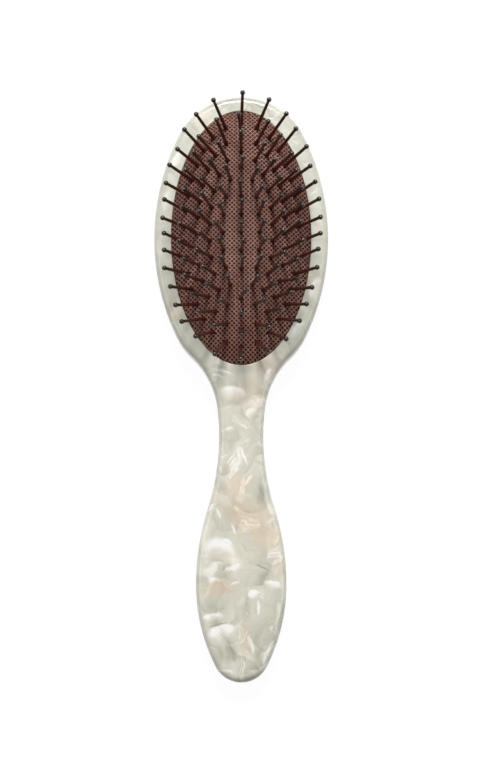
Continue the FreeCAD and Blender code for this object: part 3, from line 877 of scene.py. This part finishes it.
def floor_material():
    """White ground: it glows for the eye and for mirrors, and the rest of it takes the shadow."""
    material = bpy.data.materials.new("white_floor")
    material.use_nodes = True
    nodes = material.node_tree.nodes
    link = material.node_tree.links.new
    shader = nodes["Principled BSDF"]
    output = nodes["Material Output"]
    shader.inputs["Base Color"].default_value = (0.7, 0.7, 0.7, 1.0)
    shader.inputs["Roughness"].default_value = 0.9
    glow = nodes.new("ShaderNodeEmission")
    glow.inputs["Strength"].default_value = FLOOR_GLOW
    path = nodes.new("ShaderNodeLightPath")
    seen = nodes.new("ShaderNodeMath")
    seen.operation = "MAXIMUM"
    link(path.outputs["Is Camera Ray"], seen.inputs[0])
    link(path.outputs["Is Glossy Ray"], seen.inputs[1])
    also = nodes.new("ShaderNodeMath")
    also.operation = "MAXIMUM"
    link(seen.outputs[0], also.inputs[0])
    link(path.outputs["Is Transmission Ray"], also.inputs[1])
    share = nodes.new("ShaderNodeMath")
    share.operation = "MULTIPLY"
    share.inputs[1].default_value = FLOOR_GLOW_SHARE
    link(also.outputs[0], share.inputs[0])
    mix = nodes.new("ShaderNodeMixShader")
    link(share.outputs[0], mix.inputs[0])
    link(shader.outputs[0], mix.inputs[1])
    link(glow.outputs[0], mix.inputs[2])
    link(mix.outputs[0], output.inputs["Surface"])
    return material


def make_floor():
    """Flat white ground just under the brush, wide enough to reach the horizon in low views."""
    mesh = bpy.data.meshes.new("floor")
    signs = ((-1, -1), (1, -1), (1, 1), (-1, 1))
    corners = [(x * FLOOR_HALF, y * FLOOR_HALF, -FLOOR_DROP) for x, y in signs]
    mesh.from_pydata(corners, [], [(0, 1, 2, 3)])
    floor = bpy.data.objects.new("floor", mesh)
    bpy.context.scene.collection.objects.link(floor)
    mesh.materials.append(floor_material())


def make_world():
    """Even white surroundings."""
    world = bpy.data.worlds.new("studio")
    world.use_nodes = True
    background = world.node_tree.nodes["Background"]
    background.inputs["Color"].default_value = (1, 1, 1, 1)
    background.inputs["Strength"].default_value = WORLD_STRENGTH
    bpy.context.scene.world = world


def add_lamp(name, place, aim, width, power):
    """Square soft lamp at a place, turned to a point."""
    lamp = bpy.data.lights.new(name, "AREA")
    lamp.shape = "SQUARE"
    lamp.size = width
    lamp.energy = power
    holder = bpy.data.objects.new(name, lamp)
    holder.location = place
    holder.rotation_euler = (Vector(place) - Vector(aim)).to_track_quat("Z", "Y").to_euler()
    bpy.context.scene.collection.objects.link(holder)


def make_camera():
    """Camera over the brush, tilted a little from the handle's side, as in the photograph."""
    data = bpy.data.cameras.new("camera")
    data.sensor_width = 36.0
    data.lens = data.sensor_width / 2 * CAMERA_DISTANCE / VIEW_HALF_HEIGHT
    camera = bpy.data.objects.new("camera", data)
    back = np.array([0, -math.sin(CAMERA_TILT), math.cos(CAMERA_TILT)])
    camera.location = CAMERA_AIM + back * CAMERA_DISTANCE
    camera.rotation_euler = (CAMERA_TILT, 0, 0)
    bpy.context.scene.collection.objects.link(camera)
    bpy.context.scene.camera = camera


def dress(piece, material, slot, *nodes):
    """Give a piece its material, and let it stand for CAD nodes; the slot is not used."""
    piece.data.materials.append(material)
    if nodes:
        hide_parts(*nodes)


def press_with_cushion(piece):
    """Bake the piece's placement into its mesh."""
    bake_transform(piece)


def make_brush():
    """All pieces of the brush: the paddle and pins on their bodies, and each piece but the nets standing for
    its solids.
    """
    paddle = make_paddle()
    dress(paddle, pearl_material(), "pearl_acetate", "paddle_body")
    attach(paddle, "paddle")

    rubber = make_rubber()
    dress(rubber, rubber_material(), "cushion_rubber", "cushion_pad")
    press_with_cushion(rubber)

    cloth = make_cloth()
    dress(cloth, cloth_material(), "woven_mesh", "mesh_facing")
    press_with_cushion(cloth)
    thread = thread_material()
    nets = [make_threads("net_warp", 1), make_threads("net_weft", -1)]
    for net in nets:
        dress(net, thread, "woven_mesh")
        press_with_cushion(net)

    nylon = pin_material()
    chance = random.Random(7)
    for name, seats in pin_groups().items():
        pins = make_pins(name, seats, chance)
        dress(pins, nylon, "pin_nylon", name)
        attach(pins, name)


make_brush()
make_floor()
make_world()
add_lamp("key", (0.0, 1.0, 1.35), (0, 0, 0), 0.45, 27.5)
add_lamp("left", (-0.7, -0.05, 0.6), (0, -0.05, 0), 0.4, 1.3)
add_lamp("right", (0.7, -0.05, 0.6), (0, -0.05, 0), 0.4, 1.3)
make_camera()
bpy.context.scene.view_settings.view_transform = "Standard"
